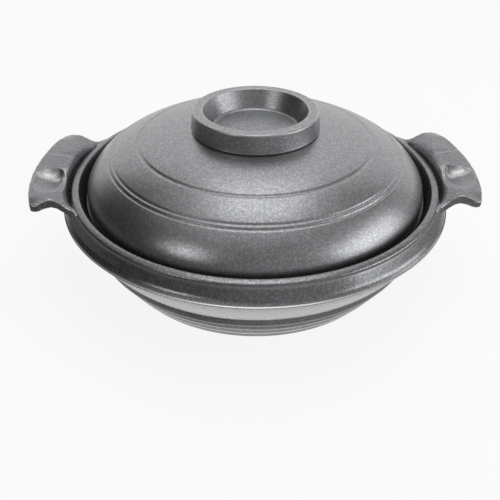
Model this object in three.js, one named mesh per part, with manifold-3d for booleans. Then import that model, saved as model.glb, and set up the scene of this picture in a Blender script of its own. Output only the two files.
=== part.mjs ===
// Shallow lidded cooking pot with cast ear handles and a ring knob. Millimetres, +Z up.
// The origin is the centre of the base; the ears lie along X and the front is towards -Y.
import * as THREE from 'three';
import { mergeVertices } from 'three/addons/utils/BufferGeometryUtils.js';
import Module from 'manifold-3d';

const wasm = await Module();
wasm.setup();

// Clearance between pieces that touch
const GAP = 0.3;

// Pot rim
const LIP_R = 104;            // radius of the lip's crest
const POT_H = 55;             // height of the lip above the base
const LIP_IN = 1.2;           // level part of the lip inside its crest
const LIP_OUT = 1.8;          // slope outside the crest: how far it runs out
const LIP_FALL = 2.4;         // and how far it falls
const LIP_ROUND = 0.7;
const LIP_EDGE_ROUND = 0.4;
const BAND_H = 9.7;           // crest down to the lower edge of the outer band
const BAND_FLARE = 6.7;       // crest out to that lower edge
const BAND_EDGE_ROUND = 1;
const COVE_IN = 4;            // hollow of the band: its neck inside the lower edge
const COVE_H = 2.4;           // and above it
const COVE_ROUND = 5;

// Pot body
const CONE_H = 19.9;          // height of the conical underside below the band
const CONE_RUN = 14.3;        // how far that cone draws in
const BODY_TAPER = 12.9;      // how far the stepped lower body draws in towards the base
const TERRACES = 4;           // steps on the lower body
const TERRACE_LEDGE = 1.9;    // overhang of each step over the one below
const TERRACE_LEDGE_RISE = 0.7;
const TERRACE_ROUND = 0.5;
const BASE_ROUND = 5;
const BOTTOM_T = 4.5;
const WALL_T = 4.9;           // wall at the top of the stepped body, measured level
const FOOT_WALL_T = 3.4;      // wall at the base
const BOWL_ROUND = 14;        // inside corner between wall and floor

// Lid seat inside the rim
const SEAT_DROP = 8.3;        // ledge below the lip
const SEAT_W = 6;
const SEAT_PLAY = 1.6;        // room around the lid's edge at the ledge
const SEAT_ROUND = 1;
const SEAT_EDGE_ROUND = 1.2;

// Lid
const LID_INSET = 7.5;        // lid's edge inside the lip's crest
const LID_T = 3.2;
const LID_EDGE_H = 5.2;       // upright edge under the dome
const LID_EDGE_ROUND = 0.8;
const LID_RISE = 31;          // dome above that edge
const DOME_POWER = 3;         // dome height falls off as (1 - (r/R)^power)^root
const DOME_ROOT = 0.625;
const GROOVE_INSETS = [30.7, 15.9, 13.7];  // turned grooves, in from the lid's edge
const GROOVE_W = 1.4;
const GROOVE_DEPTH = 0.55;
const CROWN_T = 4;            // flat pad of the lid under the knob
const CROWN_PAD_MARGIN = 5;   // pad beyond the knob's seat
const CROWN_PAD_ROUND = 2;

// Ring knob
const KNOB_R = 36.6;          // radius at its rounded lower edge
const KNOB_TOP_R = 35.2;
const KNOB_H = 10.7;          // height above the dome
const KNOB_MOUTH_R = 28.4;
const KNOB_FLOOR_R = 24;
const KNOB_FLOOR_T = 2.3;
const KNOB_FOOT_ROUND = 1.5;
const KNOB_FOOT_RISE = 0.3;   // lower edge above its meeting with the dome
const KNOB_TOP_ROUND = 0.9;
const KNOB_MOUTH_ROUND = 0.7;
const KNOB_FLOOR_ROUND = 2;
const KNOB_SINK = 2.2;        // depth of its seat in the crown
const BOSS_R = 6;             // threaded boss through the crown

// Screw and washer under the crown
const SCREW_R = 2.5;
const HEAD_R = 4.6;
const HEAD_H = 3;
const HEAD_ROUND = 1.4;
const SLOT_W = 1.1;
const SLOT_L = 5.4;
const SLOT_DEPTH = 1.5;
const THREAD_COVER = 1.3;     // metal left between the blind hole and the knob's floor
const WASHER_R = 9.5;
const WASHER_T = 1.2;

// Ears
const EAR_REACH = 22.9;       // outer edge beyond the lip's crest, at the middle
const EAR_T = 5;
const EAR_RAISE = 3.2;        // top of the outer edge above the lip
const EAR_FALL = 0.05;        // fall of the top for each millimetre outwards
const BOW_R = 122;            // curve of the outer edge, seen from above
const TIP_R = 3.4;            // rounded tips at the ends of the outer edge
const NOTCH_R = 12.4;         // concave ends between the tips and the rim
const NOTCH_ANGLE = 25.8;     // degrees round the pot from the ear's middle to where a notch meets the lip
const VALLEY_W = 5.4;         // trough between the lip's crest and the ear's inner ridge
const VALLEY_DEPTH = 2.6;     // below the lip
const VALLEY_FLOOR_W = 1.2;
const VALLEY_ROUND = 0.6;
const RIDGE_SLOPE = 27;       // degrees, from the straight inner ridge down to the rim
const RIDGE_ROUND = 2;
const WEB_DROP = 7.5;         // web under the ear, from below the lip
const WEB_REACH = 18;         // out to here beyond the lip's crest
const WEB_L = 62;
const SCOOP_INSET = 11.6;     // thumb scoop's middle, in from the outer edge
const SCOOP_FORWARD = 16.3;   // and towards the front from the ear's middle
const SCOOP_L = 30;
const SCOOP_W = 19;
const SCOOP_DEPTH = 4.2;
const SCOOP_CROWN = 8;        // half height of the ellipsoid that cuts it
const DIP_L = 34;             // broad dip across the ear's middle
const DIP_DEPTH = 0.8;

// How finely curves are cut
const TURN_STEPS = 60;
const KNOB_STEPS = 40;
const SCREW_STEPS = 32;
const CORNER_STEPS = 2;
const DOME_STEPS = 12;
const ARC_STEPS = 12;
const SCOOP_STEPS = 32;
const DIP_STEPS = 240;

// Values that follow from the sizes above
const lipEdgeR = LIP_R + LIP_OUT;
const lipEdgeZ = POT_H - LIP_FALL;
const flangeR = LIP_R + BAND_FLARE;
const flangeZ = POT_H - BAND_H;
const stepR = flangeR - CONE_RUN;
const stepZ = flangeZ - CONE_H;
const baseR = stepR - BODY_TAPER;
const lidR = LIP_R - LID_INSET;
const seatR = lidR + SEAT_PLAY;
const seatZ = POT_H - SEAT_DROP;
const lidFootZ = seatZ + GAP;
const domeFootZ = lidFootZ + LID_EDGE_H;
const knobSpigotR = KNOB_R - KNOB_FOOT_ROUND;
const crownSeatR = knobSpigotR + GAP;
const crownSeatZ = domeHeight(crownSeatR) - KNOB_SINK;
const crownPadZ = crownSeatZ - CROWN_T;
const knobFootZ = crownSeatZ + GAP;
const knobFloorZ = knobFootZ + KNOB_FLOOR_T;
const knobEdgeZ = domeHeight(crownSeatR) + GAP;
const threadTopZ = knobFloorZ - THREAD_COVER;
const threadR = SCREW_R + GAP;
const washerTopZ = crownPadZ - GAP;
const headTopZ = washerTopZ - WASHER_T - GAP;
const ridgeZ = POT_H + EAR_RAISE + EAR_FALL * (EAR_REACH - VALLEY_W);
const ridgeTan = Math.tan(THREE.MathUtils.degToRad(RIDGE_SLOPE));

function domeHeight(r, radius = lidR, rise = LID_RISE) {
  const fall = Math.min(1, Math.max(0, r / radius));
  return domeFootZ + rise * (1 - fall ** DOME_POWER) ** DOME_ROOT;
}

// Outline through corners [x, y, radius], each corner rounded by its own radius
function roundedOutline(corners) {
  const path = new THREE.Path();
  corners.forEach(([x, y, radius = 0], i) => {
    const here = new THREE.Vector2(x, y);
    const before = corners[i - 1];
    const after = corners[i + 1];
    if (!before) {
      path.moveTo(x, y);
    } else if (!after || radius === 0) {
      path.lineTo(x, y);
    } else {
      const back = new THREE.Vector2(before[0], before[1]).sub(here);
      const on = new THREE.Vector2(after[0], after[1]).sub(here);
      const halfAngle = back.angleTo(on) / 2;
      const room = 0.48 * Math.min(back.length(), on.length());
      const reach = Math.min(radius / Math.tan(halfAngle), room);
      const start = back.setLength(reach).add(here);
      const end = on.setLength(reach).add(here);
      path.lineTo(start.x, start.y);
      path.quadraticCurveTo(x, y, end.x, end.y);
    }
  });
  return path.getPoints(CORNER_STEPS);
}

function revolve(points, steps) {
  return new THREE.LatheGeometry(points, steps).rotateX(Math.PI / 2);
}

// Closed solid from a geometry: corners welded, faces without area dropped
function solid(geometry) {
  geometry.deleteAttribute('normal');
  geometry.deleteAttribute('uv');
  const welded = mergeVertices(geometry, 1e-5);
  const index = welded.index.array;
  const faces = [];
  for (let i = 0; i < index.length; i += 3) {
    const [a, b, c] = [index[i], index[i + 1], index[i + 2]];
    if (a !== b && b !== c && c !== a) faces.push(a, b, c);
  }
  const mesh = new wasm.Mesh({
    numProp: 3,
    vertProperties: new Float32Array(welded.attributes.position.array),
    triVerts: new Uint32Array(faces),
  });
  mesh.merge();
  return new wasm.Manifold(mesh);
}

function geometryOf(manifold) {
  const mesh = manifold.getMesh();
  const geometry = new THREE.BufferGeometry();
  geometry.setAttribute('position', new THREE.BufferAttribute(new Float32Array(mesh.vertProperties), 3));
  geometry.setIndex(new THREE.BufferAttribute(new Uint32Array(mesh.triVerts), 1));
  geometry.computeVertexNormals();
  return geometry;
}

function coated(name, geometry, color, roughness, metalness) {
  const mesh = new THREE.Mesh(geometry, new THREE.MeshStandardMaterial({ color, roughness, metalness }));
  mesh.name = name;
  return mesh;
}

// Pot body: stepped lower body, conical underside, hollowed band, lip, seat ledge and bowl
function potTurning() {
  const terraceH = stepZ / TERRACES;
  const ledges = (TERRACES - 1) * TERRACE_LEDGE;
  const lean = (BODY_TAPER - ledges) / TERRACES;
  const corners = [[0, 0], [baseR, 0, BASE_ROUND]];
  for (let k = 0; k < TERRACES; k += 1) {
    const footR = baseR + k * (lean + TERRACE_LEDGE);
    const headZ = (k + 1) * terraceH;
    if (k > 0) corners.push([footR, k * terraceH + TERRACE_LEDGE_RISE, TERRACE_ROUND]);
    corners.push([footR + lean, headZ, TERRACE_ROUND]);
  }
  corners.push(
    [flangeR, flangeZ, BAND_EDGE_ROUND],
    [flangeR - COVE_IN, flangeZ + COVE_H, COVE_ROUND],
    [lipEdgeR, lipEdgeZ, LIP_EDGE_ROUND],
    [LIP_R, POT_H, LIP_ROUND],
    [LIP_R - LIP_IN, POT_H, LIP_ROUND],
    [seatR, seatZ, SEAT_ROUND],
    [seatR - SEAT_W, seatZ, SEAT_EDGE_ROUND],
    [stepR - WALL_T, stepZ, BOWL_ROUND],
    [baseR - FOOT_WALL_T, BOTTOM_T, BOWL_ROUND],
    [0, BOTTOM_T],
  );
  return revolve(roundedOutline(corners), TURN_STEPS);
}

// Outline of one ear from above: a bowed outer edge, rounded tips, and at each end a notch that runs into
// the lip's outer edge, every curve tangent to the next
function earPlan() {
  const notchAngle = THREE.MathUtils.degToRad(NOTCH_ANGLE);
  const notch = new THREE.Vector2(Math.cos(notchAngle), Math.sin(notchAngle)).multiplyScalar(lipEdgeR + NOTCH_R);
  const bowCentre = new THREE.Vector2(LIP_R + EAR_REACH - BOW_R, 0);
  const bowToNotch = notch.clone().sub(bowCentre);
  const bowToTip = BOW_R - TIP_R;
  const notchTipSpan = NOTCH_R + TIP_R;
  const between = Math.acos(
    (bowToNotch.lengthSq() + bowToTip ** 2 - notchTipSpan ** 2) / (2 * bowToNotch.length() * bowToTip),
  );
  const tipAngle = bowToNotch.angle() - between;
  const tip = new THREE.Vector2(Math.cos(tipAngle), Math.sin(tipAngle)).multiplyScalar(bowToTip).add(bowCentre);
  const notchToTip = tip.clone().sub(notch).angle();

  const plan = new THREE.Shape();
  plan.absarc(0, 0, lipEdgeR, notchAngle, -notchAngle, true);
  plan.absarc(notch.x, -notch.y, NOTCH_R, Math.PI - notchAngle, -notchToTip, true);
  plan.absarc(tip.x, -tip.y, TIP_R, Math.PI - notchToTip, -tipAngle, false);
  plan.absarc(bowCentre.x, 0, BOW_R, -tipAngle, tipAngle, false);
  plan.absarc(tip.x, tip.y, TIP_R, tipAngle, notchToTip - Math.PI, false);
  plan.absarc(notch.x, notch.y, NOTCH_R, notchToTip, Math.PI + notchAngle, true);
  plan.closePath();
  return plan;
}

// Section in X and Z drawn out along Y, half to each side
function drawnOut(points, width) {
  const bar = new THREE.ExtrudeGeometry(new THREE.Shape(points), { depth: width, bevelEnabled: false });
  return bar.rotateX(Math.PI / 2).translate(0, width / 2, 0);
}

// Bent plate: level outside the straight ridge, sloping down to the rim inside it
function earPlate() {
  const ridgeX = LIP_R + VALLEY_W;
  const innerX = LIP_R - EAR_REACH;
  const outerX = LIP_R + 2 * EAR_REACH;
  const top = roundedOutline([
    [innerX, ridgeZ - ridgeTan * (ridgeX - innerX)],
    [ridgeX, ridgeZ, RIDGE_ROUND],
    [outerX, ridgeZ - EAR_FALL * (outerX - ridgeX)],
  ]);
  const under = top.map((p) => new THREE.Vector2(p.x, p.y - EAR_T)).reverse();
  return drawnOut([...top, ...under], 2 * LIP_R);
}

// Web that carries the middle of the plate from the outer band, its top along the plate's middle
function earWeb() {
  const footZ = POT_H - WEB_DROP;
  const ridgeX = LIP_R + VALLEY_W;
  const outerX = LIP_R + WEB_REACH;
  const middleZ = ridgeZ - EAR_T / 2;
  const innerX = ridgeX - (middleZ - footZ) / ridgeTan;
  const outerZ = middleZ - EAR_FALL * (outerX - ridgeX);
  const points = [
    [innerX, footZ], [lipEdgeR, footZ], [outerX, outerZ - EAR_T / 2], [outerX, outerZ], [ridgeX, middleZ],
  ].map(([x, z]) => new THREE.Vector2(x, z));
  return drawnOut(points, WEB_L);
}

// Trough turned between the lip and the ears
function valleyRing() {
  const innerR = LIP_R - LIP_IN;
  const footR = lipEdgeR + VALLEY_FLOOR_W;
  const footZ = POT_H - VALLEY_DEPTH;
  const top = POT_H + EAR_REACH;
  const points = [
    [innerR, top], [innerR, footZ], [footR, footZ, VALLEY_ROUND],
    [LIP_R + VALLEY_W, ridgeZ], [LIP_R + VALLEY_W, top], [innerR, top],
  ];
  return revolve(roundedOutline(points), TURN_STEPS);
}

// Oval thumb scoop: part of an ellipsoid whose cut at the ear's top has the stated length and width
function thumbScoop() {
  const share = Math.sqrt(1 - ((SCOOP_CROWN - SCOOP_DEPTH) / SCOOP_CROWN) ** 2);
  const ball = new THREE.SphereGeometry(1, SCOOP_STEPS, SCOOP_STEPS);
  ball.rotateX(Math.PI / 2);
  ball.scale(SCOOP_W / 2 / share, SCOOP_L / 2 / share, SCOOP_CROWN);
  const topHere = POT_H + EAR_RAISE + EAR_FALL * SCOOP_INSET;
  return ball.translate(LIP_R + EAR_REACH - SCOOP_INSET, -SCOOP_FORWARD, topHere + SCOOP_CROWN - SCOOP_DEPTH);
}

// Broad dip across the middle of the ear, from its ridge to its outer edge
function middleDip() {
  const radius = (DIP_L ** 2 / 4 + DIP_DEPTH ** 2) / (2 * DIP_DEPTH);
  const drum = new THREE.CylinderGeometry(radius, radius, 4 * EAR_REACH, DIP_STEPS).rotateZ(Math.PI / 2);
  drum.translate(-LIP_R - EAR_REACH, 0, 0).rotateY(Math.atan(EAR_FALL));
  return drum.translate(LIP_R + EAR_REACH, 0, POT_H + EAR_RAISE + radius - DIP_DEPTH);
}

function ear() {
  const prism = new THREE.ExtrudeGeometry(earPlan(), {
    depth: 2 * POT_H, bevelEnabled: false, curveSegments: ARC_STEPS,
  });
  return solid(earPlate())
    .add(solid(earWeb()))
    .intersect(solid(prism))
    .subtract(solid(valleyRing()))
    .subtract(solid(thumbScoop()))
    .subtract(solid(middleDip()));
}

function pot() {
  const right = ear();
  const left = right.mirror([1, 0, 0]);
  return geometryOf(solid(potTurning()).add(right).add(left));
}

// Dome between two radii, with its turned grooves where asked for
function domePoints(fromR, toR, radius, rise, grooves) {
  const clearOfGrooves = (r) => grooves.every((g) => Math.abs(r - g) > GROOVE_W);
  const plain = Array.from({ length: DOME_STEPS + 1 }, (_, i) => {
    const turn = (i / DOME_STEPS) * Math.PI / 2;
    return fromR + (toR - fromR) * Math.sin(turn);
  });
  const stops = plain.filter(clearOfGrooves).map((r) => [r, 0]);
  grooves.forEach((g) => stops.push([g - GROOVE_W / 2, 0], [g, GROOVE_DEPTH], [g + GROOVE_W / 2, 0]));
  stops.sort((a, b) => a[0] - b[0]);
  return stops.map(([r, sunk]) => [r, domeHeight(r, radius, rise) - sunk]);
}

function lid() {
  const hollowR = lidR - LID_T;
  const grooves = GROOVE_INSETS.map((inset) => lidR - inset);
  const padR = crownSeatR + CROWN_PAD_MARGIN;
  const boreR = BOSS_R + GAP;
  const outside = domePoints(crownSeatR, lidR, lidR, LID_RISE, grooves);
  const inside = domePoints(padR + CROWN_T / 2, hollowR, hollowR, LID_RISE - LID_T, []);
  const corners = [
    [boreR, crownPadZ], [padR, crownPadZ, CROWN_PAD_ROUND], ...inside,
    [hollowR, lidFootZ], [lidR, lidFootZ, LID_EDGE_ROUND],
    ...outside.reverse(),
    [crownSeatR, crownSeatZ], [boreR, crownSeatZ], [boreR, crownPadZ],
  ];
  return geometryOf(solid(revolve(roundedOutline(corners), TURN_STEPS)));
}

function lidKnob() {
  const topZ = knobEdgeZ + KNOB_H;
  const corners = [
    [0, threadTopZ], [threadR, threadTopZ], [threadR, crownPadZ + GAP], [BOSS_R, crownPadZ + GAP],
    [BOSS_R, knobFootZ], [knobSpigotR, knobFootZ], [knobSpigotR, knobEdgeZ],
    [KNOB_R, knobEdgeZ + KNOB_FOOT_RISE, KNOB_FOOT_ROUND],
    [KNOB_TOP_R, topZ, KNOB_TOP_ROUND], [KNOB_MOUTH_R, topZ, KNOB_MOUTH_ROUND],
    [KNOB_FLOOR_R, knobFloorZ, KNOB_FLOOR_ROUND], [0, knobFloorZ],
  ];
  return geometryOf(solid(revolve(roundedOutline(corners), KNOB_STEPS)));
}

function knobWasher() {
  const footZ = washerTopZ - WASHER_T;
  const corners = [
    [threadR, footZ], [WASHER_R, footZ], [WASHER_R, washerTopZ], [threadR, washerTopZ], [threadR, footZ],
  ];
  return geometryOf(solid(revolve(roundedOutline(corners), SCREW_STEPS)));
}

// Pan-head screw with a cross recess, head down
function knobScrew() {
  const headZ = headTopZ - HEAD_H;
  const tipZ = threadTopZ - GAP;
  const corners = [
    [0, headZ], [HEAD_R, headZ, HEAD_ROUND], [HEAD_R, headTopZ], [SCREW_R, headTopZ], [SCREW_R, tipZ], [0, tipZ],
  ];
  const turned = solid(revolve(roundedOutline(corners), SCREW_STEPS));
  const slots = [0, 90].map((angle) => {
    const bar = new THREE.BoxGeometry(SLOT_L, SLOT_W, 2 * SLOT_DEPTH).translate(0, 0, headZ);
    return solid(bar.rotateZ(THREE.MathUtils.degToRad(angle)));
  });
  return geometryOf(slots.reduce((body, slot) => body.subtract(slot), turned));
}

const assembly = new THREE.Group();
assembly.name = 'lidded_pot';
assembly.add(coated('pot', pot(), 0x4a4b4d, 0.45, 0.6));

const lidGroup = new THREE.Group();
lidGroup.name = 'lid_with_knob';
lidGroup.add(coated('lid', lid(), 0x55565a, 0.45, 0.6));
lidGroup.add(coated('lid_knob', lidKnob(), 0x5b5c60, 0.45, 0.6));
lidGroup.add(coated('knob_washer', knobWasher(), 0xb9bbbe, 0.35, 1));
lidGroup.add(coated('knob_screw', knobScrew(), 0xc4c6c9, 0.3, 1));
assembly.add(lidGroup);

export default assembly;
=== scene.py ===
import math

import bmesh
import bpy
from mathutils import Matrix, Vector


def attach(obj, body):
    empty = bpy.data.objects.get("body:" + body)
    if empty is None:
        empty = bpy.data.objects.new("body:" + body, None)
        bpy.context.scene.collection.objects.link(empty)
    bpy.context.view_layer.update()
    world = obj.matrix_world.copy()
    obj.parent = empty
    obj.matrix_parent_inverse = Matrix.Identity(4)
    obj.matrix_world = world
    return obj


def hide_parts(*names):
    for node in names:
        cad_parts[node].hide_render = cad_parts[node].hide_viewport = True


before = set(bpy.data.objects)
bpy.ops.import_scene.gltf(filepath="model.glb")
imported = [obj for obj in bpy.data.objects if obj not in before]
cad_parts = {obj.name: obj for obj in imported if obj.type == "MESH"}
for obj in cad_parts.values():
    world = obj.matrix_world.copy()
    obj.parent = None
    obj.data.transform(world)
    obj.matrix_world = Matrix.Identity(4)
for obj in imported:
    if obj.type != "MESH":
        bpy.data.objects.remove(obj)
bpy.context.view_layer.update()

# Looks of a shallow cast cooking pot with ear handles, a domed lid and a ring knob.
# Sizes below are millimetres in the frame of the solids and angles are degrees; meshes are metres.
MM = 0.001

# Clearance between pieces that touch
GAP = 0.3

# Pot rim
LIP_R = 104
POT_H = 55
LIP_IN = 3
LIP_CREST_IN = 1.4
LIP_SHOULDER_OUT = 0.9
LIP_SHOULDER_FALL = 0.7
LIP_OUT = 1.1
LIP_FALL = 2.4
LIP_ROUND = 1.2
LIP_CREST_ROUND = 6
LIP_EDGE_ROUND = 0.45
BAND_H = 9.7
BAND_FLARE = 6.7
BAND_EDGE_ROUND = 0.25
FLANGE_LAND_W = 0.9
FLANGE_LAND_RISE = 0.25
COVE_IN = 2.8
COVE_H = 1.7
COVE_ROUND = 3.5

# Pot body
CONE_H = 19.9
CONE_RUN = 14.3
BODY_TAPER = 12.9
STEP_LIP_H = 0.9
STEP_LIP_OUT = 0.5
TERRACES = 4
TERRACE_LEDGE = 2.9
TERRACE_LEDGE_RISE = 0.7
TERRACE_ROUND = 0.6
TERRACE_ROOT_ROUND = 0.5
BASE_ROUND = 5
BOTTOM_T = 4.5
WALL_T = 4.9
FOOT_WALL_T = 3.4
BOWL_ROUND = 14

# Lid seat inside the rim
SEAT_DROP = 8.3
SEAT_W = 6
SEAT_PLAY = 1.6
SEAT_ROUND = 1
SEAT_EDGE_ROUND = 1.2

# Lid
LID_INSET = 7.5
LID_T = 3.2
LID_EDGE_H = 5.2
LID_EDGE_ROUND = 0.8
LID_RISE = 31
DOME_POWER = 3
DOME_ROOT = 0.625
# Turned grooves: distance in from the lid's edge, width, depth
GROOVES = ((30.7, 3.0, 0.5), (15.9, 2.1, 0.4), (13.7, 2.1, 0.4))
CROWN_T = 4
CROWN_PAD_MARGIN = 5
CROWN_PAD_ROUND = 2

# Ring knob
KNOB_R = 36.0
KNOB_TOP_R = 34.9
KNOB_H = 10.7
KNOB_MOUTH_R = 29.2
KNOB_FLOOR_R = 24
KNOB_FLOOR_T = 2.3
KNOB_FOOT_ROUND = 0.9
KNOB_FOOT_RISE = 0.3
KNOB_TOP_ROUND = 1.2
KNOB_MOUTH_ROUND = 0.7
KNOB_FLOOR_ROUND = 2
KNOB_SINK = 2.2
BOSS_R = 6

# Screw and washer under the crown
SCREW_R = 2.5
HEAD_R = 4.6
HEAD_H = 3
HEAD_ROUND = 1.4
SLOT_W = 1.1
SLOT_L = 5.4
SLOT_DEPTH = 1.5
THREAD_COVER = 1.3
WASHER_R = 9.5
WASHER_T = 1.2
BURR_ROUND = 0.2
# Edges of the screw that turn more than this are shaded sharp
SHARP_ANGLE = 35

# Ears, seen from above
EAR_REACH = 22.9
BOW_R = 122
TIP_R = 3.4
NOTCH_R = 12.4
NOTCH_ANGLE = 25.8
NOTCH_FOOT = 1.8
EAR_ROOT_R = 104.7

# Ears, from the side
EAR_T = 5
EAR_LEAST_T = 2.4
EAR_RAISE = 3.6
EAR_FALL = 0.075
RIDGE_OUT = 6
RIDGE_RUN = 11.5
RIDGE_FOOT_DROP = 0.5
VALLEY_FROM = 1.7
VALLEY_TO = 7
VALLEY_EASE = 3.4
VALLEY_DEPTH = 7
VALLEY_END_DEPTH = 0.8
VALLEY_FULL = 18
VALLEY_END = 43
WEB_DROP = 7.5
WEB_REACH = 18
WEB_FULL = 25
WEB_END = 37

# Thumb scoop; the biases are shares of its depth
SCOOP_OUT = 12.4
SCOOP_FORWARD = 16.8
SCOOP_W = 17.8
SCOOP_L = 29.6
SCOOP_DEPTH = 3.3
SCOOP_SIDE_POWER = 3
SCOOP_BACK_BIAS = 0.7
SCOOP_INNER_BIAS = 0.4

# Broad dip across the ear's ridge, and the drooping tips
DIP_L = 34
DIP_DEPTH = 1.4
TIP_DROP = 1.3
TIP_FROM = 33
TIP_RUN = 10
TIP_OUT_RUN = 9

# Ears are left as a sand casting is, with every edge rounded: the margin and cell of the blank they are
# cut from, then the remesh and the smoothing
EAR_MARGIN = 1
EAR_CELL = 0.5
EAR_GRAIN = 0.42
EAR_SMOOTHING = 4
EAR_SMOOTHING_SHARE = 0.5

# Painted highlights on the ears, chipped where strongest: on sharp edges, then the painted sheen in a
# band on the scoop's back wall in shares of the scoop's half length and half width, then the faint
# painted highlight on the crease across the ear's back
EAR_EDGE_HIGHLIGHT = 11
EAR_EDGE_HIGHLIGHT_FROM = 0.4
FACING_UP = 0.5
SHEEN_MOST = 0.85
SHEEN_ALONG = 0.58
SHEEN_REACH = 0.22
SHEEN_INNER_REACH = 0.4
SHEEN_END_POWER = 8
CREASE_BACK = 10.7
CREASE_SLANT = 0.33
CREASE_FROM = 3.5
CREASE_W = 1.0
CREASE_HIGHLIGHT = 0.4

# Painted highlights on turned edges, with real wear on the lip and chips where strongest: how far it
# reaches, and how strong it is (1 is most)
LIP_WEAR_AND_HIGHLIGHT = (1.1, 0.4)
FLANGE_HIGHLIGHT = (0.5, 0.8)
CONE_SHEEN = (0.5, 0.5)
STEP_HIGHLIGHT = (0.5, 1.0)
TERRACE_HIGHLIGHT = (0.5, 1.0)
KNOB_TOP_HIGHLIGHT = (1.0, 0.9)
KNOB_MOUTH_HIGHLIGHT = (0.8, 0.6)
KNOB_FOOT_HIGHLIGHT = (1.2, 0.8)
# How far up the cone and up a terrace's wall that the painted highlight is full
STEP_HIGHLIGHT_H = 1.2
TERRACE_HIGHLIGHT_H = 0.5

# The black inside: faces that lean over more than this, or face outwards, keep the pot's coating
INSIDE_OVERHANG = -0.2
INSIDE_OUTWARD = 1e-6

# How finely curves are cut
TURN_STEPS = 216
SMALL_TURN_STEPS = 96
ARC_STEP = 14
LEAST_ARC_CUTS = 3
EAR_ARC_STEP = 5
DOME_STEPS = 64
GROOVE_STEPS = 10
# Most of a straight that the arc at one end takes
ARC_SHARE = 0.48
# Extra points at these distances from each end of a straight, where it is this many times as long
HOLDS = (0.35, 1.05)
HOLD_ROOM = 2.5
# Points closer than this, in metres, are one
SAME_POINT = 1e-7

# Size of each pattern's cell
FLAKE = 0.6
GRIT = 1.1
CASTING_WAVE = 14
CHIP = 9
ORANGE_PEEL = 1.6
PLATING_CLOUD = 2.5
TURNING_RING = 3.77
FLOOR_CLOUD = 60

# Floor: half its side, and the disc under the pot with its brightness and the brightness around it
FLOOR_HALF = 6000
UNDER_POT_R = 92
UNDER_POT_FADE_R = 106
UNDER_POT_LEVEL = 1.0
FLOOR_LEVEL = 0.2
# Share of plain white in what the camera sees of the floor; the rest takes light and shadow
FLOOR_WHITE = 0.88

# Room around the pot: direction, the cosines to it at which brightness starts and would be full, and the
# least and most brightness
ROOM = (
    ((0.09, 0.99, 0), 0.42, 0.68, 0.03, 1.0),
    ((0.80, -0.60, 0), -0.20, 0.80, 0.03, 0.42),
    ((0, 0, 1), 0.55, 1.15, 0.02, 0.9),
)

# Softboxes: name, direction, then distance, width and height in metres, and brightness
SOFTBOXES = (
    ("softbox_right", (0.90, -0.28, 0.30), 0.9, 0.75, 0.48, 2.25),
    ("softbox_front_left", (-0.62, -0.62, 0.48), 0.9, 0.28, 0.28, 3.0),
    ("softbox_top", (0.03, 0.24, 0.97), 1.0, 0.56, 0.68, 1.5),
)
SOFTBOX_AIM_Z = 50

# Camera: the photograph's place, angle and lens
CAMERA_PLACE = (-11.7, -304.0, 219.8)
CAMERA_TURN = -1.7
CAMERA_TILT = 53.75
CAMERA_ROLL = 0.33
CAMERA_SENSOR = 36
CAMERA_LENS = 41.98
CAMERA_NEAR = 10

lip_edge_r = LIP_R + LIP_OUT
lip_edge_z = POT_H - LIP_FALL
notch_foot_r = LIP_R + NOTCH_FOOT
flange_r = LIP_R + BAND_FLARE
flange_z = POT_H - BAND_H
land_r = flange_r - FLANGE_LAND_W
land_z = flange_z + FLANGE_LAND_RISE
step_r = flange_r - CONE_RUN
step_z = flange_z - CONE_H
step_lip_r = step_r + STEP_LIP_H * CONE_RUN / CONE_H + STEP_LIP_OUT
step_lip_z = step_z + STEP_LIP_H
base_r = step_r - BODY_TAPER
terrace_h = step_z / TERRACES
terrace_lean = (BODY_TAPER - (TERRACES - 1) * TERRACE_LEDGE) / TERRACES
lid_r = LIP_R - LID_INSET
seat_r = lid_r + SEAT_PLAY
seat_z = POT_H - SEAT_DROP
lid_foot_z = seat_z + GAP
dome_foot_z = lid_foot_z + LID_EDGE_H
ear_outer_x = LIP_R + EAR_REACH
ridge_x = LIP_R + RIDGE_OUT
ridge_z = POT_H + EAR_RAISE + EAR_FALL * (EAR_REACH - RIDGE_OUT)


def dome_height(r, radius=lid_r, rise=LID_RISE):
    """Height of the dome at a radius, before its grooves."""
    fall = min(1.0, max(0.0, r / radius))
    return dome_foot_z + rise * (1 - fall ** DOME_POWER) ** DOME_ROOT


knob_spigot_r = KNOB_R - KNOB_FOOT_ROUND
crown_seat_r = knob_spigot_r + GAP
crown_seat_z = dome_height(crown_seat_r) - KNOB_SINK
crown_pad_z = crown_seat_z - CROWN_T
knob_foot_z = crown_seat_z + GAP
knob_floor_z = knob_foot_z + KNOB_FLOOR_T
knob_edge_z = dome_height(crown_seat_r) + GAP
knob_top_z = knob_edge_z + KNOB_H
thread_top_z = knob_floor_z - THREAD_COVER
thread_r = SCREW_R + GAP
washer_top_z = crown_pad_z - GAP
head_top_z = washer_top_z - WASHER_T - GAP


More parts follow.
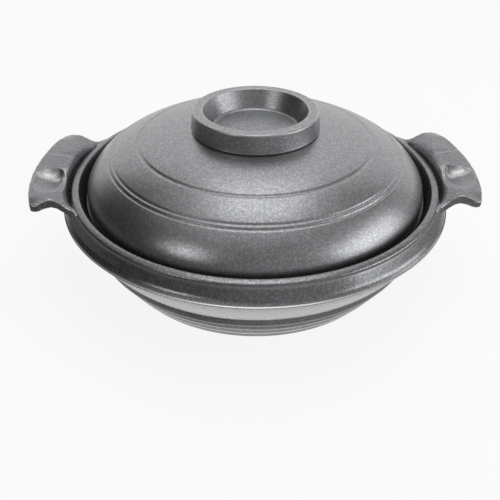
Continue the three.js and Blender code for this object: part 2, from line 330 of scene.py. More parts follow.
# Making of meshes
def rounded(corners):
    """Points of an outline whose corners (x, y, radius) are turned by true arcs, with points close to
    each end of a long straight, so that smooth shading stays inside the arcs."""
    points = []
    for i, (x, y, *rest) in enumerate(corners):
        here = Vector((x, y))
        radius = rest[0] if rest else 0
        if radius == 0 or i == 0 or i == len(corners) - 1:
            points.append(here)
            continue
        back = Vector(corners[i - 1][:2]) - here
        on = Vector(corners[i + 1][:2]) - here
        half = back.angle(on) / 2
        reach = min(radius / math.tan(half), ARC_SHARE * back.length, ARC_SHARE * on.length)
        radius = reach * math.tan(half)
        start = here + back.normalized() * reach
        inward = (back.normalized() + on.normalized()).normalized()
        centre = here + inward * (radius / math.sin(half))
        spoke = start - centre
        end_spoke = here + on.normalized() * reach - centre
        turn = spoke.angle_signed(end_spoke)
        cuts = max(LEAST_ARC_CUTS, math.ceil(abs(turn) / math.radians(ARC_STEP)))
        for k in range(cuts + 1):
            points.append(centre + Matrix.Rotation(-turn * k / cuts, 2) @ spoke)
    held = [points[0]]
    for a, b in zip(points, points[1:]):
        span = (b - a).length
        marks = [m for m in HOLDS if HOLD_ROOM * m < span]
        held += [a.lerp(b, m / span) for m in marks]
        held += [b.lerp(a, m / span) for m in reversed(marks)]
        held.append(b)
    return held


def distance(point, start, end):
    """From a point to the line between two others."""
    line = end - start
    from_start = point - start
    share = from_start.dot(line) / line.length_squared if line.length else 0
    return (from_start - line * min(1.0, max(0.0, share))).length


def finished(name, shape):
    """The object of a bmesh, smooth shaded, at the origin."""
    for face in shape.faces:
        face.smooth = True
    mesh = bpy.data.meshes.new(name)
    shape.to_mesh(mesh)
    shape.free()
    made = bpy.data.objects.new(name, mesh)
    bpy.context.scene.collection.objects.link(made)
    return made


def turned(name, outline, steps, closed=False, highlight_and_wear_bands=()):
    """A piece turned about Z from an outline of (radius, height), with a vertex value that lightens the
    coat as a painted highlight and, where it is highest, shows chips of wear: bands of (start, end, reach,
    strength)."""
    shape = bmesh.new()
    wear_and_highlight = shape.verts.layers.float.new("wear_and_highlight")
    verts = [shape.verts.new((p.x * MM, 0, p.y * MM)) for p in outline]
    edges = [shape.edges.new(pair) for pair in zip(verts, verts[1:])]
    if closed:
        edges.append(shape.edges.new((verts[-1], verts[0])))
    # Painted highlight near each band, chipped where strongest
    for v, p in zip(verts, outline):
        for start, end, reach, strength in highlight_and_wear_bands:
            near = 1 - distance(p, start, end) / reach
            v[wear_and_highlight] = max(v[wear_and_highlight], strength * max(0.0, near))
    bmesh.ops.spin(
        shape, geom=verts + edges, cent=(0, 0, 0), axis=(0, 0, 1),
        angle=math.tau, steps=steps, use_merge=True,
    )
    bmesh.ops.remove_doubles(shape, verts=shape.verts, dist=SAME_POINT)
    bmesh.ops.recalc_face_normals(shape, faces=shape.faces)
    return finished(name, shape)


def extruded_verts(shape, faces):
    """The new vertices that extruding faces of a bmesh gives, not yet moved."""
    made = bmesh.ops.extrude_face_region(shape, geom=faces)["geom"]
    return [g for g in made if isinstance(g, bmesh.types.BMVert)]


def with_modifiers_applied(made):
    """The object's mesh as its modifiers leave it, in a bmesh; the object is removed."""
    graph = bpy.context.evaluated_depsgraph_get()
    mesh = bpy.data.meshes.new_from_object(made.evaluated_get(graph))
    shape = bmesh.new()
    shape.from_mesh(mesh)
    bpy.data.meshes.remove(mesh)
    bpy.data.objects.remove(made)
    return shape


# Pot body
def terrace_foot(k):
    """Radius and height where the wall of terrace k starts, counted from 0 at the base."""
    return base_r + k * (terrace_lean + TERRACE_LEDGE), k * terrace_h + TERRACE_LEDGE_RISE


def pot_outline():
    """From the middle of the base up the terraces, cone and rim, over the lip, and down the inside."""
    corners = [(0, 0), (base_r, 0, BASE_ROUND)]
    for k in range(TERRACES):
        foot_r, foot_z = terrace_foot(k)
        if k > 0:
            corners.append((foot_r, foot_z, TERRACE_ROUND))
        corners.append((foot_r + terrace_lean, (k + 1) * terrace_h, TERRACE_ROOT_ROUND))
    corners += [
        (step_lip_r, step_lip_z, BAND_EDGE_ROUND),
        (flange_r, flange_z, BAND_EDGE_ROUND),
        (land_r, land_z, BAND_EDGE_ROUND),
        (flange_r - COVE_IN, flange_z + COVE_H, COVE_ROUND),
        (lip_edge_r, lip_edge_z, LIP_EDGE_ROUND),
        (LIP_R + LIP_SHOULDER_OUT, POT_H - LIP_SHOULDER_FALL, LIP_ROUND),
        (LIP_R - LIP_CREST_IN, POT_H, LIP_CREST_ROUND),
        (LIP_R - LIP_IN, POT_H, LIP_ROUND),
        (seat_r, seat_z, SEAT_ROUND),
        (seat_r - SEAT_W, seat_z, SEAT_EDGE_ROUND),
        (step_r - WALL_T, step_z, BOWL_ROUND),
        (base_r - FOOT_WALL_T, BOTTOM_T, BOWL_ROUND),
        (0, BOTTOM_T),
    ]
    return rounded(corners)


def pot_highlights_and_wear():
    """Painted highlight bands of the pot, with real wear on the lip too: the lip, the flange, the cone and
    its foot, and each terrace's lower edge.
    """
    lip = Vector((lip_edge_r, lip_edge_z))
    flange = Vector((flange_r, flange_z))
    land = Vector((land_r, land_z))
    step = Vector((step_lip_r, step_lip_z))
    cone_side = (flange - step).normalized()
    terrace_wall = Vector((terrace_lean, terrace_h - TERRACE_LEDGE_RISE)).normalized()
    bands = [
        (lip, lip, *LIP_WEAR_AND_HIGHLIGHT),
        (flange, land, *FLANGE_HIGHLIGHT),
        (flange, step, *CONE_SHEEN),
        (step + cone_side * STEP_HIGHLIGHT_H, step, *STEP_HIGHLIGHT),
    ]
    for k in range(1, TERRACES):
        foot = Vector(terrace_foot(k))
        bands.append((foot, foot + terrace_wall * TERRACE_HIGHLIGHT_H, *TERRACE_HIGHLIGHT))
    return bands


def in_bowl(polygon):
    """Whether a face of the pot lies in the bowl or on the lid's seat."""
    middle = polygon.center
    outward = polygon.normal.x * middle.x + polygon.normal.y * middle.y
    return (
        polygon.normal.z > INSIDE_OVERHANG
        and outward < INSIDE_OUTWARD
        and middle.z / MM > BOTTOM_T - GAP
        and math.hypot(middle.x, middle.y) / MM < seat_r + GAP
    )


# Ears
def arc(centre, radius, start, end):
    """Points of an arc about a centre, from one angle to another."""
    cuts = math.ceil(abs(end - start) / math.radians(EAR_ARC_STEP))
    angles = [start + (end - start) * k / cuts for k in range(cuts + 1)]
    return [centre + Vector((math.cos(a), math.sin(a))) * radius for a in angles]


def ear_outline():
    """The right ear from above: bowed outer edge, rounded tips, and a notch at each end that runs into the
    lip's outer edge, every arc tangent to the next; the inner edge lies inside the rim."""
    notch_angle = math.radians(NOTCH_ANGLE)
    notch = Vector((math.cos(notch_angle), math.sin(notch_angle))) * (notch_foot_r + NOTCH_R)
    bow = Vector((ear_outer_x - BOW_R, 0))
    reach = BOW_R - TIP_R
    span = (notch - bow).length
    between = math.acos((span ** 2 + reach ** 2 - (NOTCH_R + TIP_R) ** 2) / (2 * span * reach))
    tip_angle = math.atan2(notch.y, notch.x - bow.x) - between
    tip = bow + Vector((math.cos(tip_angle), math.sin(tip_angle))) * reach
    to_tip = math.atan2(tip.y - notch.y, tip.x - notch.x)
    back = (
        arc(bow, BOW_R, 0, tip_angle)
        + arc(tip, TIP_R, tip_angle, to_tip + math.pi)[1:]
        + arc(notch, NOTCH_R, to_tip, notch_angle - math.pi)[1:]
        + arc(Vector((0, 0)), EAR_ROOT_R, notch_angle, 0)
    )
    front = [Vector((p.x, -p.y)) for p in back[-2:0:-1]]
    return back + front


def ease(value, start, end):
    """0 before start, 1 after end, smooth between."""
    share = min(1.0, max(0.0, (value - start) / (end - start)))
    return share * share * (3 - 2 * share)


def ear_plate_top(x):
    """Height of the ear's plate: falling a little outwards from its straight ridge, and inside the ridge in
    a double curve down to the lip."""
    if x > ridge_x:
        return ridge_z - EAR_FALL * (x - ridge_x)
    foot_z = POT_H - RIDGE_FOOT_DROP
    return foot_z + (ridge_z - foot_z) * ease(x, ridge_x - RIDGE_RUN, ridge_x)


def scoop_place(x, y):
    """Where a point lies in the thumb scoop: along it (1 at its back end) and across it (1 at its outer
    side)."""
    along = (y + SCOOP_FORWARD) / (SCOOP_L / 2)
    across = (math.hypot(x, y) - LIP_R - SCOOP_OUT) / (SCOOP_W / 2)
    return along, across


def scoop_depth(x, y):
    """Thumb scoop: an oval bowl that is steep at its back and inner ends and rises gently to the others."""
    along, across = scoop_place(x, y)
    bowl = max(0.0, 1 - along ** 2 - abs(across) ** SCOOP_SIDE_POWER)
    return SCOOP_DEPTH * bowl * (1 + SCOOP_BACK_BIAS * along) * (1 - SCOOP_INNER_BIAS * across)


def scoop_sheen(x, y):
    """Painted sheen in place of a lamp's glint: a band across the scoop's back wall, broadest at its inner
    end."""
    along, across = scoop_place(x, y)
    reach = SHEEN_REACH + SHEEN_INNER_REACH * max(0.0, -across)
    band = max(0.0, 1 - ((along - SHEEN_ALONG) / reach) ** 2)
    return SHEEN_MOST * band * max(0.0, 1 - across ** SHEEN_END_POWER)


def crease_highlight(x, y):
    """Painted highlight on the crease across the ear's back, from the valley outwards."""
    off = y - CREASE_BACK - CREASE_SLANT * (x - LIP_R - CREASE_FROM)
    line = max(0.0, 1 - abs(off) / CREASE_W)
    return CREASE_HIGHLIGHT * line * ease(x, LIP_R + CREASE_FROM, ridge_x)


def ear_top(x, y):
    """Height of the ear: its plate with drooping tips, the broad dip and the thumb scoop, and the valley
    beside the lip."""
    z = ear_plate_top(x) - scoop_depth(x, y)
    z -= DIP_DEPTH * max(0.0, 1 - (y / (DIP_L / 2)) ** 2) * (1 - ease(x, ridge_x, ear_outer_x))
    tip = ease(abs(y), TIP_FROM, TIP_FROM + TIP_RUN)
    z -= TIP_DROP * tip * ease(x, ridge_x, ridge_x + TIP_OUT_RUN)
    from_lip = math.hypot(x, y) - LIP_R
    out = min(1.0, max(0.0, (from_lip - VALLEY_FROM) / (VALLEY_TO - VALLEY_FROM)))
    shallow = ease(abs(y), VALLEY_FULL, VALLEY_END) * (VALLEY_DEPTH - VALLEY_END_DEPTH)
    valley_z = POT_H - VALLEY_DEPTH + shallow
    return min(valley_z, z) + max(0.0, z - valley_z) * (1 - (1 - out) ** VALLEY_EASE)


def ear_under(x, y):
    """Underside of the ear: its plate's thickness, the web that carries its middle, and never less than the
    least wall under the scoop and the valley."""
    plate = ear_plate_top(x) - EAR_T
    web_outer = LIP_R + WEB_REACH
    web_foot = POT_H - WEB_DROP
    web_rise = (ear_plate_top(web_outer) - EAR_T - web_foot) / (web_outer - notch_foot_r)
    web = web_foot + web_rise * (x - notch_foot_r)
    low = plate + min(0.0, web - plate) * (1 - ease(abs(y), WEB_FULL, WEB_END))
    return min(low, ear_top(x, y) - EAR_LEAST_T)


def ear_blank(outline):
    """A block between the ear's underside and its top, a little larger than its outline."""
    low_x = min(p.x for p in outline) - EAR_MARGIN
    high_x = max(p.x for p in outline) + EAR_MARGIN
    half_y = max(p.y for p in outline) + EAR_MARGIN
    columns = int((high_x - low_x) / EAR_CELL)
    rows = int(2 * half_y / EAR_CELL)
    block = bmesh.new()
    bmesh.ops.create_grid(block, x_segments=columns, y_segments=rows, size=0.5)
    bmesh.ops.scale(block, vec=(high_x - low_x, 2 * half_y, 1), verts=block.verts)
    bmesh.ops.translate(block, vec=((low_x + high_x) / 2, 0, 0), verts=block.verts)
    under = block.verts[:]
    top = extruded_verts(block, block.faces[:])
    for v in under:
        v.co.z = ear_under(v.co.x, v.co.y)
    for v in top:
        v.co.z = ear_top(v.co.x, v.co.y)
    bmesh.ops.scale(block, vec=(MM, MM, MM), verts=block.verts)
    bmesh.ops.recalc_face_normals(block, faces=block.faces)
    return finished("ear_blank", block)


def ear_cutter(outline):
    """A prism on the ear's outline, from the table to twice the pot's height."""
    prism = bmesh.new()
    foot = prism.faces.new([prism.verts.new((p.x * MM, p.y * MM, 0)) for p in outline])
    top = extruded_verts(prism, [foot])
    bmesh.ops.translate(prism, vec=(0, 0, 2 * POT_H * MM), verts=top)
    bmesh.ops.recalc_face_normals(prism, faces=prism.faces)
    return finished("ear_cutter", prism)


def paint_ear_highlights_and_wear(shape):
    """Writes the ear's value of painted highlight and wear: painted highlight on sharp edges, chipped
    where strongest, painted sheen in the scoop and painted highlight on the crease.
    """
    wear_and_highlight = shape.verts.layers.float.new("wear_and_highlight")
    for v in shape.verts:
        # Painted highlight on sharp convex edges: how far the neighbouring vertices fall away from the
        # normal
        lean = sum((e.other_vert(v).co - v.co).normalized().dot(v.normal) for e in v.link_edges)
        v[wear_and_highlight] = min(1.0, max(0.0, -lean / len(v.link_edges) * EAR_EDGE_HIGHLIGHT - EAR_EDGE_HIGHLIGHT_FROM))
        # Painted sheen in the scoop and painted highlight on the crease, on faces that look up
        if v.normal.z > FACING_UP:
            place = (abs(v.co.x) / MM, v.co.y / MM)
            v[wear_and_highlight] = max(v[wear_and_highlight], scoop_sheen(*place), crease_highlight(*place))


def cast_ear(name, side):
    """One ear: its blank cut to its outline, then rounded all over by a fine remesh and smoothing, so that
    it runs into the rim as a casting does. The left ear mirrors the right one."""
    outline = ear_outline()
    blank = ear_blank(outline)
    cutter = ear_cutter(outline)
    cut = blank.modifiers.new("cut", "BOOLEAN")
    cut.operation = "INTERSECT"
    cut.solver = "EXACT"
    cut.object = cutter
    grain = blank.modifiers.new("grain", "REMESH")
    grain.mode = "VOXEL"
    grain.voxel_size = EAR_GRAIN * MM
    cast = blank.modifiers.new("cast", "SMOOTH")
    cast.factor = EAR_SMOOTHING_SHARE
    cast.iterations = EAR_SMOOTHING
    shape = with_modifiers_applied(blank)
    bpy.data.objects.remove(cutter)
    if side < 0:
        bmesh.ops.scale(shape, vec=(-1, 1, 1), verts=shape.verts)
    bmesh.ops.recalc_face_normals(shape, faces=shape.faces)
    shape.normal_update()
    paint_ear_highlights_and_wear(shape)
    return finished(name, shape)


# Lid
def dome_points(from_r, to_r, radius, rise, grooves):
    """Points of a dome between two radii, closer together near the outer one and across each groove."""
    turns = [math.pi / 2 * i / DOME_STEPS for i in range(DOME_STEPS + 1)]
    radii = [from_r + (to_r - from_r) * math.sin(turn) for turn in turns]
    for inset, width, _ in grooves:
        middle = radius - inset
        radii = [r for r in radii if abs(r - middle) > width / 2]
        radii += [middle + width * (k / GROOVE_STEPS - 0.5) for k in range(GROOVE_STEPS + 1)]
    points = []
    for r in sorted(radii):
        z = dome_height(r, radius, rise)
        for inset, width, depth in grooves:
            across = abs(r - radius + inset) / (width / 2)
            if across < 1:
                z -= depth * math.cos(across * math.pi / 2) ** 2
        points.append((r, z))
    return points


def lid_outline():
    """From the knob's bore out along the inside, round the edge, and back over the dome to the knob's
    seat."""
    hollow_r = lid_r - LID_T
    pad_r = crown_seat_r + CROWN_PAD_MARGIN
    bore_r = BOSS_R + GAP
    outside = dome_points(crown_seat_r, lid_r, lid_r, LID_RISE, GROOVES)
    inside = dome_points(pad_r + CROWN_T / 2, hollow_r, hollow_r, LID_RISE - LID_T, [])
    return rounded(
        [(bore_r, crown_pad_z), (pad_r, crown_pad_z, CROWN_PAD_ROUND)]
        + inside
        + [(hollow_r, lid_foot_z, LID_EDGE_ROUND), (lid_r, lid_foot_z, LID_EDGE_ROUND)]
        + outside[::-1]
        + [(crown_seat_r, crown_seat_z), (bore_r, crown_seat_z)]
    )


def knob_outline():
    """From the blind hole for the screw, down its boss and out under the foot, up and over the ring, and
    down to the floor inside it."""
    boss_foot_z = crown_pad_z + GAP
    return rounded([
        (0, thread_top_z),
        (thread_r, thread_top_z),
        (thread_r, boss_foot_z),
        (BOSS_R, boss_foot_z),
        (BOSS_R, knob_foot_z),
        (knob_spigot_r, knob_foot_z),
        (knob_spigot_r, knob_edge_z),
        (KNOB_R, knob_edge_z + KNOB_FOOT_RISE, KNOB_FOOT_ROUND),
        (KNOB_TOP_R, knob_top_z, KNOB_TOP_ROUND),
        (KNOB_MOUTH_R, knob_top_z, KNOB_MOUTH_ROUND),
        (KNOB_FLOOR_R, knob_floor_z, KNOB_FLOOR_ROUND),
        (0, knob_floor_z),
    ])


def knob_highlights():
    """Painted highlight bands of the knob: the ring's outer and inner top edges and its lower edge."""
    top = Vector((KNOB_TOP_R, knob_top_z))
    mouth = Vector((KNOB_MOUTH_R, knob_top_z))
    foot = Vector((KNOB_R, knob_edge_z + KNOB_FOOT_RISE))
    return [
        (top, top, *KNOB_TOP_HIGHLIGHT),
        (mouth, mouth, *KNOB_MOUTH_HIGHLIGHT),
        (foot, foot, *KNOB_FOOT_HIGHLIGHT),
    ]


def washer_outline():
    """Round the washer's section, from the middle of its underside and nearly back to it."""
    foot_z = washer_top_z - WASHER_T
    middle = (thread_r + WASHER_R) / 2
    return rounded([
        (middle, foot_z),
        (WASHER_R, foot_z, BURR_ROUND),
        (WASHER_R, washer_top_z, BURR_ROUND),
        (thread_r, washer_top_z, BURR_ROUND),
        (thread_r, foot_z, BURR_ROUND),
        (middle - GAP, foot_z),
    ])


def screw():
    """Pan-head screw, head down, with a cross recess cut into its head."""
    head_z = head_top_z - HEAD_H
    tip_z = thread_top_z - GAP
    outline = rounded([
        (0, head_z),
        (HEAD_R, head_z, HEAD_ROUND),
        (HEAD_R, head_top_z, BURR_ROUND),
        (SCREW_R, head_top_z),
        (SCREW_R, tip_z, BURR_ROUND),
        (0, tip_z),
    ])
    body = turned("screw_body", outline, SMALL_TURN_STEPS)
    cutters = []
    for angle in (0, 90):
        bar = bmesh.new()
        bmesh.ops.create_cube(bar, size=1)
        bmesh.ops.scale(bar, vec=(SLOT_L * MM, SLOT_W * MM, 2 * SLOT_DEPTH * MM), verts=bar.verts)
        bmesh.ops.rotate(bar, matrix=Matrix.Rotation(math.radians(angle), 3, "Z"), verts=bar.verts)
        bmesh.ops.translate(bar, vec=(0, 0, head_z * MM), verts=bar.verts)
        cutter = finished(f"recess_{angle}", bar)
        cutters.append(cutter)
        cut = body.modifiers.new(f"recess_{angle}", "BOOLEAN")
        cut.operation = "DIFFERENCE"
        cut.solver = "EXACT"
        cut.object = cutter
    shape = with_modifiers_applied(body)
    for cutter in cutters:
        bpy.data.objects.remove(cutter)
    made = finished("knob_screw_turned", shape)
    made.data.set_sharp_from_angle(angle=math.radians(SHARP_ANGLE))
    return made


# Materials
def colour(hex_code):
    """sRGB hex to the linear values that shaders take."""
    linear = []
    for i in (1, 3, 5):
        c = int(hex_code[i:i + 2], 16) / 255
        linear.append(c / 12.92 if c <= 0.04045 else ((c + 0.055) / 1.055) ** 2.4)
    return (*linear, 1)


def add(tree, kind, sockets=None, **settings):
    """One node: settings are its properties, and each socket takes a value or another node's output."""
    new = tree.nodes.new(kind)
    for key, value in settings.items():
        setattr(new, key, value)
    for key, value in (sockets or {}).items():
        if isinstance(value, bpy.types.NodeSocket):
            tree.links.new(value, new.inputs[key])
        else:
            new.inputs[key].default_value = value
    return new


def new_material(name):
    """A material without nodes, and its tree."""
    material = bpy.data.materials.new(name)
    material.use_nodes = True
    material.node_tree.nodes.clear()
    return material, material.node_tree


def per_metre(size_mm):
    """Texture scale that makes one cell this many millimetres."""
    return 1 / (size_mm * MM)


def speckled_coating(name, dark, pale, smoothest, roughest):
    """Baked-on metallic coating on cast aluminium: grey with paler flakes that glint one by one, satin,
    over a casting that is not quite even. The vertex value of painted highlight and wear lightens the
    coat towards pale grey as a painted highlight, and where it is highest bare aluminium shows in chips
    of wear. Flakes are about 0.1 mm; they are drawn larger so that they show in the render."""
    material, tree = new_material(name)
    place = add(tree, "ShaderNodeTexCoord").outputs["Object"]
    flakes = add(tree, "ShaderNodeTexVoronoi", {"Vector": place, "Scale": per_metre(FLAKE)})
    flake = add(tree, "ShaderNodeSeparateColor", {"Color": flakes.outputs["Color"]})
    grit = add(tree, "ShaderNodeTexNoise", {"Vector": place, "Scale": per_metre(GRIT), "Detail": 3.0})
    cast = add(tree, "ShaderNodeTexNoise", {
        "Vector": place, "Scale": per_metre(CASTING_WAVE), "Detail": 2.0,
    })
    bright = add(tree, "ShaderNodeMapRange", {
        "Value": flake.outputs["Red"], "From Min": 0.4, "From Max": 1.0,
    })
    tone = add(tree, "ShaderNodeMix", {
        "Factor": bright.outputs["Result"], "A": colour(dark), "B": colour(pale),
    }, data_type="RGBA")
    wear_and_highlight = add(tree, "ShaderNodeAttribute", attribute_name="wear_and_highlight")
    # Painted highlight: the vertex value lightens the coat towards pale grey
    lightening = add(tree, "ShaderNodeMath", {0: wear_and_highlight.outputs["Fac"], 1: 0.85}, operation="MULTIPLY")
    highlighted = add(tree, "ShaderNodeMix", {
        "Factor": lightening.outputs["Value"], "A": tone.outputs["Result"], "B": colour("#d0d1d2"),
    }, data_type="RGBA")
    chips = add(tree, "ShaderNodeTexNoise", {
        "Vector": place, "Scale": per_metre(CHIP), "Detail": 5.0, "Roughness": 0.6,
    })
    chipped = add(tree, "ShaderNodeMath", {
        0: wear_and_highlight.outputs["Fac"], 1: chips.outputs["Fac"],
    }, operation="MULTIPLY")
    bare = add(tree, "ShaderNodeMapRange", {
        "Value": chipped.outputs["Value"], "From Min": 0.58, "From Max": 0.62,
    })
    shade = add(tree, "ShaderNodeMix", {
        "Factor": bare.outputs["Result"], "A": highlighted.outputs["Result"], "B": colour("#eeeeee"),
    }, data_type="RGBA")
    satin = add(tree, "ShaderNodeMapRange", {
        "Value": grit.outputs["Fac"], "From Min": 0.3, "From Max": 0.7,
        "To Min": smoothest, "To Max": roughest,
    })
    uneven = add(tree, "ShaderNodeBump", {
        "Height": cast.outputs["Fac"], "Strength": 0.18, "Distance": 0.4 * MM,
    })
    glint = add(tree, "ShaderNodeBump", {
        "Height": flake.outputs["Green"], "Normal": uneven.outputs["Normal"],
        "Strength": 0.06, "Distance": 0.3 * MM,
    })
    surface = add(tree, "ShaderNodeBsdfPrincipled", {
        "Base Color": shade.outputs["Result"], "Roughness": satin.outputs["Result"], "Metallic": 0.95,
        "Normal": glint.outputs["Normal"],
    })
    add(tree, "ShaderNodeOutputMaterial", {"Surface": surface.outputs["BSDF"]})
    return material


def nonstick_black():
    """Sprayed non-stick inside: near black, smooth and glossy, with a faint orange peel."""
    material, tree = new_material("black_nonstick")
    place = add(tree, "ShaderNodeTexCoord").outputs["Object"]
    peel = add(tree, "ShaderNodeTexNoise", {
        "Vector": place, "Scale": per_metre(ORANGE_PEEL), "Detail": 2.0,
    })
    tone = add(tree, "ShaderNodeMix", {
        "Factor": peel.outputs["Fac"], "A": colour("#1c1c1d"), "B": colour("#2a2a2b"),
    }, data_type="RGBA")
    rough = add(tree, "ShaderNodeMapRange", {
        "Value": peel.outputs["Fac"], "To Min": 0.16, "To Max": 0.28,
    })
    bump = add(tree, "ShaderNodeBump", {
        "Height": peel.outputs["Fac"], "Strength": 0.12, "Distance": 0.2 * MM,
    })
    surface = add(tree, "ShaderNodeBsdfPrincipled", {
        "Base Color": tone.outputs["Result"], "Roughness": rough.outputs["Result"], "IOR": 1.4,
        "Normal": bump.outputs["Normal"],
    })
    add(tree, "ShaderNodeOutputMaterial", {"Surface": surface.outputs["BSDF"]})
    return material


def plated_steel():
    """Zinc-plated steel hardware: pale, with turning rings about its axis, drawn wider apart than a tool
    leaves them so that they show. At a scale of 1 the wave's own rings are pi / 10 apart."""
    material, tree = new_material("zinc_plated_steel")
    place = add(tree, "ShaderNodeTexCoord").outputs["Object"]
    rings = add(tree, "ShaderNodeTexWave", {
        "Vector": place, "Scale": per_metre(TURNING_RING) * math.pi / 10, "Distortion": 0.6, "Detail": 2.0,
    }, wave_type="RINGS", rings_direction="Z")
    cloud = add(tree, "ShaderNodeTexNoise", {
        "Vector": place, "Scale": per_metre(PLATING_CLOUD), "Detail": 3.0,
    })
    tone = add(tree, "ShaderNodeMix", {
        "Factor": cloud.outputs["Fac"], "A": colour("#9fa2a6"), "B": colour("#c6c8cb"),
    }, data_type="RGBA")
    rough = add(tree, "ShaderNodeMapRange", {
        "Value": cloud.outputs["Fac"], "To Min": 0.24, "To Max": 0.42,
    })
    bump = add(tree, "ShaderNodeBump", {
        "Height": rings.outputs["Fac"], "Strength": 0.1, "Distance": 0.1 * MM,
    })
    surface = add(tree, "ShaderNodeBsdfPrincipled", {
        "Base Color": tone.outputs["Result"], "Roughness": rough.outputs["Result"], "Metallic": 1.0,
        "Normal": bump.outputs["Normal"],
    })
    add(tree, "ShaderNodeOutputMaterial", {"Surface": surface.outputs["BSDF"]})
    return material


def room_level(tree, way):
    """How bright the room is in a direction: a white wall behind, a grey one at front right, a pale
    ceiling, and dim elsewhere."""
    level = None
    for toward, start, end, low, high in ROOM:
        facing = add(tree, "ShaderNodeVectorMath", {
            0: way, 1: Vector(toward).normalized(),
        }, operation="DOT_PRODUCT")
        share = add(tree, "ShaderNodeMapRange", {
            "Value": facing.outputs["Value"], "From Min": start, "From Max": end,
            "To Min": low, "To Max": high,
        }, interpolation_type="SMOOTHSTEP").outputs["Result"]
        if level:
            brighter = add(tree, "ShaderNodeMath", {0: level, 1: share}, operation="MAXIMUM")
            share = brighter.outputs["Value"]
        level = share
    return level


def pale_floor():
    """Matt white floor that shows white to the camera and keeps part of the shadow. In the metal it shows
    the room's brightness that way, and white under the pot."""
    material, tree = new_material("pale_floor")
    place = add(tree, "ShaderNodeTexCoord").outputs["Object"]
    cloud = add(tree, "ShaderNodeTexNoise", {
        "Vector": place, "Scale": per_metre(FLOOR_CLOUD), "Detail": 2.0,
    })
    tone = add(tree, "ShaderNodeMix", {
        "Factor": cloud.outputs["Fac"], "A": colour("#f2f2f2"), "B": colour("#f6f6f6"),
    }, data_type="RGBA")
    matt = add(tree, "ShaderNodeBsdfDiffuse", {"Color": tone.outputs["Result"]})
    way = add(tree, "ShaderNodeVectorMath", {0: place}, operation="NORMALIZE")
    from_axis = add(tree, "ShaderNodeVectorMath", {0: place}, operation="LENGTH")
    under_pot = add(tree, "ShaderNodeMapRange", {
        "Value": from_axis.outputs["Value"],
        "From Min": UNDER_POT_R * MM, "From Max": UNDER_POT_FADE_R * MM,
        "To Min": UNDER_POT_LEVEL, "To Max": FLOOR_LEVEL,
    }, interpolation_type="SMOOTHSTEP")
    lit = add(tree, "ShaderNodeMath", {
        0: room_level(tree, way.outputs["Vector"]), 1: under_pot.outputs["Result"],
    }, operation="MAXIMUM")
    path = add(tree, "ShaderNodeLightPath")
    level = add(tree, "ShaderNodeMix", {
        "Factor": path.outputs["Is Camera Ray"], "A": lit.outputs["Value"], "B": 1.0,
    }, data_type="FLOAT")
    white = add(tree, "ShaderNodeEmission", {
        "Color": colour("#ffffff"), "Strength": level.outputs["Result"],
    })
    reflected = add(tree, "ShaderNodeMath", {
        0: path.outputs["Is Glossy Ray"], 1: path.outputs["Is Transmission Ray"],
    }, operation="MAXIMUM")
    share = add(tree, "ShaderNodeMath", {
        0: path.outputs["Is Camera Ray"], 1: FLOOR_WHITE, 2: reflected.outputs["Value"],
    }, operation="MULTIPLY_ADD")
    both = add(tree, "ShaderNodeMixShader", {
        "Fac": share.outputs["Value"], 1: matt.outputs["BSDF"], 2: white.outputs["Emission"],
    })
    add(tree, "ShaderNodeOutputMaterial", {"Surface": both.outputs["Shader"]})
    return material


pot_coat = speckled_coating("dark_coating_cast_aluminium", "#78797b", "#98999b", 0.25, 0.33)
lid_coat = speckled_coating("speckled_coating_cast_aluminium", "#8e8f91", "#adaeb0", 0.29, 0.38)
knob_coat = speckled_coating("rough_coating_cast_aluminium", "#8f9092", "#b2b3b5", 0.33, 0.42)
black = nonstick_black()
steel = plated_steel()


def dress(piece, body, slot, material, *nodes):
    """Gives a piece its material, the body it rides on and the nodes that it stands for; the slot is not
    used.
    """
    piece.data.materials.clear()
    piece.data.materials.append(material)
    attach(piece, body)
    if nodes:
        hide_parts(*nodes)


# Pieces
pot_body = turned("pot_body", pot_outline(), TURN_STEPS, highlight_and_wear_bands=pot_highlights_and_wear())
dress(pot_body, "pot", "pot_coat", pot_coat, "pot")
pot_body.data.materials.append(black)
for polygon in pot_body.data.polygons:
    if in_bowl(polygon):
        polygon.material_index = 1

for name, side in (("ear_right", 1), ("ear_left", -1)):
    dress(cast_ear(name, side), "pot", "pot_coat", pot_coat)

lid_dome = turned("lid_dome", lid_outline(), TURN_STEPS, closed=True)
dress(lid_dome, "lid", "lid_coat", lid_coat, "lid")
knob_ring = turned("knob_ring", knob_outline(), TURN_STEPS, highlight_and_wear_bands=knob_highlights())
dress(knob_ring, "lid", "knob_coat", knob_coat, "lid_knob")
washer_ring = turned("washer_ring", washer_outline(), SMALL_TURN_STEPS, closed=True)
dress(washer_ring, "lid", "washer_steel", steel, "knob_washer")
dress(screw(), "lid", "screw_steel", steel, "knob_screw")

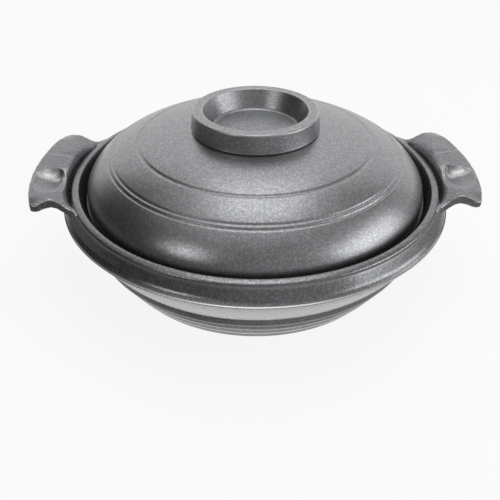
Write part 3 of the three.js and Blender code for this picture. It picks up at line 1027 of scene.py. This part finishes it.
# Floor
ground = bmesh.new()
bmesh.ops.create_grid(ground, x_segments=1, y_segments=1, size=FLOOR_HALF * MM)
floor = finished("floor", ground)
floor.data.materials.append(pale_floor())

# World: white to the camera, the room to the metal
world = bpy.data.worlds.new("studio")
bpy.context.scene.world = world
world.use_nodes = True
sky = world.node_tree
sky.nodes.clear()
wall = room_level(sky, add(sky, "ShaderNodeTexCoord").outputs["Generated"])
path = add(sky, "ShaderNodeLightPath")
level = add(sky, "ShaderNodeMix", {
    "Factor": path.outputs["Is Camera Ray"], "A": wall, "B": 1.0,
}, data_type="FLOAT")
backdrop = add(sky, "ShaderNodeBackground", {
    "Color": colour("#ffffff"), "Strength": level.outputs["Result"],
})
add(sky, "ShaderNodeOutputWorld", {"Surface": backdrop.outputs["Background"]})


def softbox(name, toward, away, width, height, radiance):
    """An area lamp that faces the pot's axis near the rim; its power follows from its brightness."""
    lamp = bpy.data.lights.new(name, "AREA")
    lamp.shape = "RECTANGLE"
    lamp.size = width
    lamp.size_y = height
    lamp.energy = radiance * width * height * math.pi
    made = bpy.data.objects.new(name, lamp)
    way = Vector(toward).normalized()
    place = way * away + Vector((0, 0, SOFTBOX_AIM_Z * MM))
    made.matrix_world = Matrix.LocRotScale(place, way.to_track_quat("Z", "Y"), None)
    made.visible_camera = False
    bpy.context.scene.collection.objects.link(made)


for settings in SOFTBOXES:
    softbox(*settings)

# Camera
camera_data = bpy.data.cameras.new("camera")
camera_data.sensor_width = CAMERA_SENSOR
camera_data.lens = CAMERA_LENS
camera_data.clip_start = CAMERA_NEAR * MM
camera = bpy.data.objects.new("camera", camera_data)
place = Matrix.Translation(Vector(CAMERA_PLACE) * MM)
turn = Matrix.Rotation(math.radians(CAMERA_TURN), 4, "Z")
tilt = Matrix.Rotation(math.radians(CAMERA_TILT), 4, "X")
roll = Matrix.Rotation(math.radians(CAMERA_ROLL), 4, "Z")
camera.matrix_world = place @ turn @ tilt @ roll
bpy.context.scene.collection.objects.link(camera)
bpy.context.scene.camera = camera
bpy.context.scene.view_settings.view_transform = "Standard"
